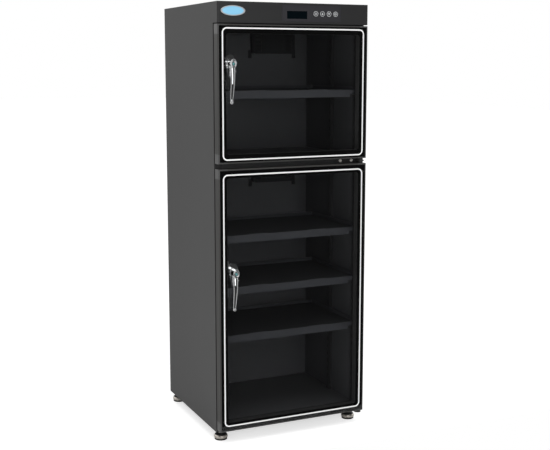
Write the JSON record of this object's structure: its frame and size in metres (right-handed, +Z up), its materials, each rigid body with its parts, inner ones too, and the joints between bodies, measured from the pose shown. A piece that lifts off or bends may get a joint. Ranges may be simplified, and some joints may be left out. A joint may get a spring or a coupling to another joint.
{
  "type": "camera dry cabinet",
  "caption": "Tall steel dry cabinet with two glass doors hung on the right, chrome lever locks, a control header, pressed shelves and levelling feet",
  "frame": {"origin": "On the floor, under the centre of the bounding box", "axes": "+Z up, doors face -Y, +X to the right as seen from the front"},
  "size_m": [0.48, 0.495, 1.29],
  "materials": {
    "case_paint": "fine-textured dark grey powder coat",
    "front_paint": "smooth satin dark grey powder coat",
    "inner_paint": "matt black powder coat",
    "shelf_paint": "satin charcoal powder coat",
    "rail_paint": "matt dark grey powder coat",
    "frame_metal": "brushed and anodised dark grey",
    "corner_plastic": "fine-grained dark grey moulding",
    "glass": "smoked tempered glass",
    "line_print": "white ceramic ink",
    "seal": "soft black magnetic seal",
    "chrome": "bright chrome on zinc die casting",
    "zinc": "zinc-plated steel",
    "lock_metal": "nickel with a pale turquoise tint",
    "overlay_film": "printed polyester film, semi-gloss",
    "display_lens": "smoked acrylic lens over a lit display",
    "badge_metal": "pale blue enamel on a bright oval",
    "board_green": "solder mask",
    "supply_metal": "perforated aluminium case",
    "inlet_plastic": "black moulding",
    "cable": "black cable sheath",
    "cartridge": "natural plastic",
    "cover_plastic": "fine-grained black moulding",
    "shelf_mat": "ribbed non-slip mat",
    "screw_chrome": "bright plated steel",
    "button_cap": "grey satin moulding",
    "foot_parts": "plated cup under a black moulding"
  },
  "bodies": {
    "cabinet": {"left_side_panel": "case_paint", "right_side_panel": "case_paint", "top_panel": "case_paint", "rear_cover": "case_paint", "base_panel": "inner_paint", "inner_back_panel": "inner_paint", "partition_panel": "inner_paint", "ceiling_panel": "inner_paint", "front_frame": "front_paint", "mid_rail": "rail_paint", "header_panel": "front_paint", "control_overlay": "overlay_film", "display_window": "display_lens", "badge": "badge_metal", "control_board": "board_green", "power_supply": "supply_metal", "power_inlet": "inlet_plastic", "wiring": "cable", "drying_units": "cartridge", "upper_unit_cover": "cover_plastic", "lower_unit_cover": "cover_plastic", "left_uprights": "inner_paint", "right_uprights": "inner_paint", "shelf_clips": "zinc", "shelf_1": "shelf_paint", "shelf_2": "shelf_paint", "shelf_3": "shelf_paint", "shelf_4": "shelf_paint", "shelf_mats": "shelf_mat", "top_hinge": "zinc", "middle_hinge": "zinc", "bottom_hinge": "zinc", "screws": "screw_chrome", "keepers": "zinc"},
    "button_power": {"button_power": "button_cap"},
    "button_up": {"button_up": "button_cap"},
    "button_down": {"button_down": "button_cap"},
    "button_lamp": {"button_lamp": "button_cap"},
    "foot_front_left": {"foot_front_left": "foot_parts"},
    "foot_rear_left": {"foot_rear_left": "foot_parts"},
    "foot_front_right": {"foot_front_right": "foot_parts"},
    "foot_rear_right": {"foot_rear_right": "foot_parts"},
    "upper_door": {"upper_door_frame": "frame_metal", "upper_door_corners": "corner_plastic", "upper_door_glass": "glass", "upper_door_line": "line_print", "upper_door_seal": "seal", "upper_handle_plate": "chrome"},
    "upper_lever": {"upper_lever": "chrome", "upper_spindle": "zinc"},
    "upper_key": {"upper_key_plug": "lock_metal"},
    "lower_door": {"lower_door_frame": "frame_metal", "lower_door_corners": "corner_plastic", "lower_door_glass": "glass", "lower_door_line": "line_print", "lower_door_seal": "seal", "lower_handle_plate": "chrome"},
    "lower_lever": {"lower_lever": "chrome", "lower_spindle": "zinc"},
    "lower_key": {"lower_key_plug": "lock_metal"}
  },
  "joints": [
    {"name": "upper_door_hinge", "type": "hinge", "parent": "cabinet", "child": "upper_door", "pos_m": [0.228, -0.2015, 1.03], "axis": [0, 0, 1], "range_deg": [0, 120]},
    {"name": "lower_door_hinge", "type": "hinge", "parent": "cabinet", "child": "lower_door", "pos_m": [0.228, -0.2015, 0.43], "axis": [0, 0, 1], "range_deg": [0, 120]},
    {"name": "upper_lever_turn", "type": "hinge", "parent": "upper_door", "child": "upper_lever", "pos_m": [-0.204, -0.2155, 1.117], "axis": [0, -1, 0], "range_deg": [0, 90]},
    {"name": "lower_lever_turn", "type": "hinge", "parent": "lower_door", "child": "lower_lever", "pos_m": [-0.199, -0.2155, 0.52], "axis": [0, -1, 0], "range_deg": [0, 90]},
    {"name": "upper_key_turn", "type": "hinge", "parent": "upper_lever", "child": "upper_key", "pos_m": [-0.204, -0.24, 1.117], "axis": [0, -1, 0], "range_deg": [0, 90]},
    {"name": "lower_key_turn", "type": "hinge", "parent": "lower_lever", "child": "lower_key", "pos_m": [-0.199, -0.24, 0.52], "axis": [0, -1, 0], "range_deg": [0, 90]},
    {"name": "button_power_press", "type": "slide", "parent": "cabinet", "child": "button_power", "axis": [0, 1, 0], "range_m": [0, 0.001], "stiffness_N_per_m": 400},
    {"name": "button_up_press", "type": "slide", "parent": "cabinet", "child": "button_up", "axis": [0, 1, 0], "range_m": [0, 0.001], "stiffness_N_per_m": 400},
    {"name": "button_down_press", "type": "slide", "parent": "cabinet", "child": "button_down", "axis": [0, 1, 0], "range_m": [0, 0.001], "stiffness_N_per_m": 400},
    {"name": "button_lamp_press", "type": "slide", "parent": "cabinet", "child": "button_lamp", "axis": [0, 1, 0], "range_m": [0, 0.001], "stiffness_N_per_m": 400},
    {"name": "foot_front_left_screw", "type": "hinge", "parent": "cabinet", "child": "foot_front_left", "pos_m": [-0.217, -0.1575, 0.02], "axis": [0, 0, 1], "continuous": true},
    {"name": "foot_rear_left_screw", "type": "hinge", "parent": "cabinet", "child": "foot_rear_left", "pos_m": [-0.217, 0.2225, 0.02], "axis": [0, 0, 1], "continuous": true},
    {"name": "foot_front_right_screw", "type": "hinge", "parent": "cabinet", "child": "foot_front_right", "pos_m": [0.217, -0.1575, 0.02], "axis": [0, 0, 1], "continuous": true},
    {"name": "foot_rear_right_screw", "type": "hinge", "parent": "cabinet", "child": "foot_rear_right", "pos_m": [0.217, 0.2225, 0.02], "axis": [0, 0, 1], "continuous": true}
  ]
}
